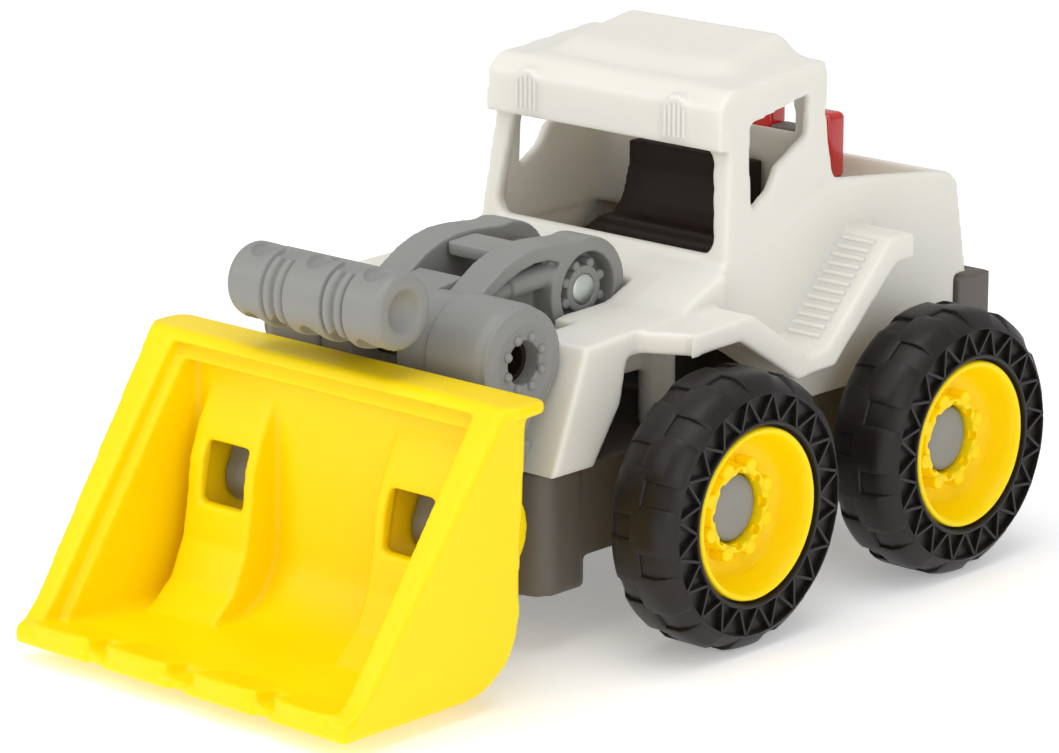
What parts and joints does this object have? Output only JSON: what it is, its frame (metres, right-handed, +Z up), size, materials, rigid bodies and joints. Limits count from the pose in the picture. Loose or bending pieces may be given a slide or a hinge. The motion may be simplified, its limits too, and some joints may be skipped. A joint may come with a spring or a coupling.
{
  "type": "toy front loader",
  "caption": "Toy wheel loader with a lifting arm, a tilting scoop bucket, a hand grip, an open cab, red beacons and free-rolling wheels.",
  "frame": {"origin": "middle of the object's base, on the ground", "axes": "+X to the vehicle's left, -Y towards the bucket's edge, +Z up"},
  "size_m": [0.1136, 0.2004, 0.1075],
  "materials": {
    "white_plastic": "moulded, satin",
    "yellow_plastic": "moulded, glossy",
    "grey_plastic": "moulded, satin",
    "dark_grey_plastic": "moulded, satin",
    "red_lens": "moulded, translucent",
    "tyre_rubber": "moulded",
    "steel": "drawn rod"
  },
  "bodies": {
    "vehicle": {"chassis": "grey_plastic", "chassis_screws": "steel", "body_shell": "white_plastic", "cab_interior": "dark_grey_plastic", "beacon_mount": "grey_plastic", "beacon_left": "red_lens", "beacon_right": "red_lens", "axle_front": "steel", "axle_rear": "steel", "axle_cap_front_left": "grey_plastic", "axle_cap_front_right": "grey_plastic", "axle_cap_rear_left": "grey_plastic", "axle_cap_rear_right": "grey_plastic"},
    "loader": {"arm_left": "grey_plastic", "arm_right": "grey_plastic", "elbow_left": "grey_plastic", "elbow_right": "grey_plastic", "arm_bridge": "grey_plastic", "lift_pin": "steel", "elbow_tube": "dark_grey_plastic", "grip_handle": "grey_plastic"},
    "bucket": {"bucket": "yellow_plastic", "bucket_pin_left": "steel", "bucket_pin_right": "steel"},
    "wheel_front_left": {"tyre_front_left": "tyre_rubber", "rim_front_left": "yellow_plastic"},
    "wheel_front_right": {"tyre_front_right": "tyre_rubber", "rim_front_right": "yellow_plastic"},
    "wheel_rear_left": {"tyre_rear_left": "tyre_rubber", "rim_rear_left": "yellow_plastic"},
    "wheel_rear_right": {"tyre_rear_right": "tyre_rubber", "rim_rear_right": "yellow_plastic"}
  },
  "joints": [
    {"name": "arm_lift", "type": "hinge", "parent": "vehicle", "child": "loader", "pos_m": [0, -0.00235, 0.0637], "axis": [-1, 0, 0], "range_deg": [0, 60]},
    {"name": "bucket_tilt", "type": "hinge", "parent": "loader", "child": "bucket", "pos_m": [0, -0.05035, 0.029], "axis": [1, 0, 0], "range_deg": [-4, 50]},
    {"name": "wheel_front_left_roll", "type": "hinge", "parent": "vehicle", "child": "wheel_front_left", "pos_m": [0.048, -0.00135, 0.027], "axis": [1, 0, 0], "continuous": true},
    {"name": "wheel_front_right_roll", "type": "hinge", "parent": "vehicle", "child": "wheel_front_right", "pos_m": [-0.048, -0.00135, 0.027], "axis": [1, 0, 0], "continuous": true},
    {"name": "wheel_rear_left_roll", "type": "hinge", "parent": "vehicle", "child": "wheel_rear_left", "pos_m": [0.048, 0.06435, 0.027], "axis": [1, 0, 0], "continuous": true},
    {"name": "wheel_rear_right_roll", "type": "hinge", "parent": "vehicle", "child": "wheel_rear_right", "pos_m": [-0.048, 0.06435, 0.027], "axis": [1, 0, 0], "continuous": true}
  ]
}
